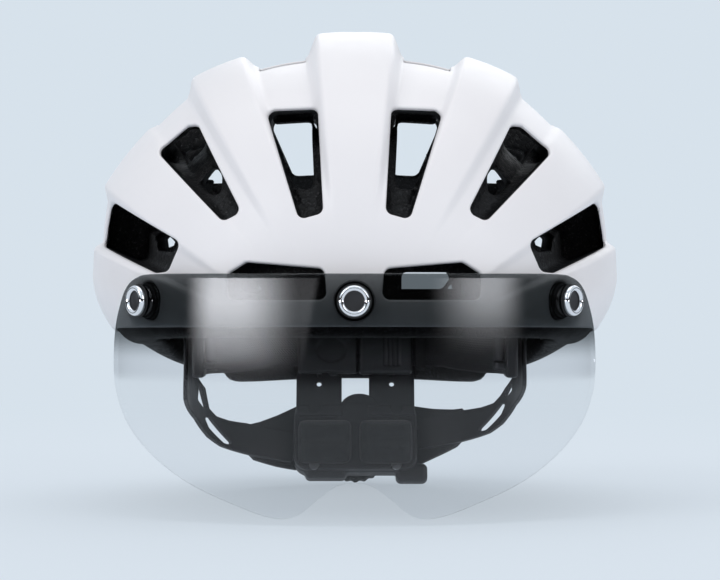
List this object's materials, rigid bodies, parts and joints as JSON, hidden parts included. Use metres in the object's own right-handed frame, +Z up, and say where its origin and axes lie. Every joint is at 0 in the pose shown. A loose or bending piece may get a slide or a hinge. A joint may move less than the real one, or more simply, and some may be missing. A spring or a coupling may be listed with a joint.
{
  "type": "helmet",
  "caption": "Vented sport helmet with a foam liner, a dial-adjusted head cradle, webbing straps with a buckle, and a tinted visor held by magnets.",
  "frame": {"origin": "middle of the head opening: on the symmetry plane, midway from brow to tail of the shell, at the height of the line from which the ribs fan out", "axes": "+X towards the picture's right, the face looks along -Y, +Z up"},
  "size_m": [0.2126, 0.291, 0.1903],
  "materials": {
    "shell_white": "matte, faint grain",
    "foam_black": "moulded bead foam",
    "pad_fabric": "brushed knit over foam",
    "webbing_black": "woven webbing",
    "black_plastic": "moulded, fine grain",
    "cradle_plastic": "moulded, satin",
    "lens_smoke": "smoke tint, polished",
    "ring_chrome": "polished",
    "magnet_steel": "nickel plated",
    "screw_steel": "zinc plated",
    "black_rubber": "soft, ribbed"
  },
  "bodies": {
    "helmet": {"outer_shell": "shell_white", "eps_liner": "foam_black", "visor_sockets": "black_plastic", "socket_magnets": "magnet_steel", "height_guide": "black_plastic", "left_temple_pin": "black_plastic", "right_temple_pin": "black_plastic", "strap_anchors": "black_plastic", "brow_pad": "pad_fabric", "crown_pad": "pad_fabric", "left_crown_pad": "pad_fabric", "right_crown_pad": "pad_fabric", "left_side_pad": "pad_fabric", "right_side_pad": "pad_fabric", "left_front_strap": "webbing_black", "right_front_strap": "webbing_black", "left_rear_strap": "webbing_black", "right_rear_strap": "webbing_black", "left_chin_strap": "webbing_black", "right_chin_strap": "webbing_black", "left_divider": "black_plastic", "right_divider": "black_plastic", "buckle_female": "black_plastic", "buckle_male": "black_plastic", "strap_keeper": "black_rubber"},
    "left_lever": {"left_cam_lever": "black_plastic"},
    "right_lever": {"right_cam_lever": "black_plastic"},
    "upper_prong_arm": {"upper_prong": "black_plastic"},
    "lower_prong_arm": {"lower_prong": "black_plastic"},
    "cradle": {"dial_housing": "cradle_plastic", "housing_cover": "cradle_plastic", "housing_screws": "screw_steel", "nape_pads": "pad_fabric"},
    "left_arm": {"left_belt": "cradle_plastic"},
    "right_arm": {"right_belt": "cradle_plastic"},
    "dial": {"dial_knob": "black_plastic", "dial_grip": "black_rubber", "dial_pinion": "black_plastic", "dial_washer": "screw_steel", "dial_screw": "screw_steel"},
    "visor": {"visor_lens": "lens_smoke", "centre_ring": "ring_chrome", "left_ring": "ring_chrome", "right_ring": "ring_chrome", "stud_gaskets": "black_rubber", "visor_studs": "black_plastic", "visor_magnets": "magnet_steel"}
  },
  "joints": [
    {"name": "visor_pull", "type": "slide", "parent": "helmet", "child": "visor", "axis": [0, -1, 0], "range_m": [0, 0.12]},
    {"name": "cradle_raise", "type": "hinge", "parent": "helmet", "child": "cradle", "pos_m": [0, 0.022, 0.014], "axis": [1, 0, 0], "range_deg": [0, 6]},
    {"name": "dial_turn", "type": "hinge", "parent": "cradle", "child": "dial", "pos_m": [0, 0.08834, -0.04215], "axis": [0, -0.9397, 0.342], "range_deg": [0, 64]},
    {"name": "left_arm_slide", "type": "slide", "parent": "cradle", "child": "left_arm", "axis": [1, 0, 0], "range_m": [0, 0.0045]},
    {"name": "right_arm_slide", "type": "slide", "parent": "cradle", "child": "right_arm", "axis": [-1, 0, 0], "range_m": [0, 0.0045]},
    {"name": "left_lever_open", "type": "hinge", "parent": "helmet", "child": "left_lever", "pos_m": [-0.0591, -0.004, 0.007], "axis": [0, 0, -1], "range_deg": [0, 70]},
    {"name": "right_lever_open", "type": "hinge", "parent": "helmet", "child": "right_lever", "pos_m": [0.0591, -0.004, 0.007], "axis": [0, 0, 1], "range_deg": [0, 70]},
    {"name": "upper_prong_press", "type": "hinge", "parent": "helmet", "child": "upper_prong_arm", "pos_m": [-0.0003, 0.078, 0.0068], "axis": [0, -1, 0], "range_deg": [0, 11], "stiffness_Nm_per_rad": 0.02},
    {"name": "lower_prong_press", "type": "hinge", "parent": "helmet", "child": "lower_prong_arm", "pos_m": [-0.0003, 0.078, -0.0068], "axis": [0, 1, 0], "range_deg": [0, 11], "stiffness_Nm_per_rad": 0.02}
  ],
  "couplings": [
    {"joint": "left_arm_slide", "follows": "dial_turn", "m_per_rad": 0.004},
    {"joint": "right_arm_slide", "follows": "dial_turn", "m_per_rad": 0.004}
  ]
}
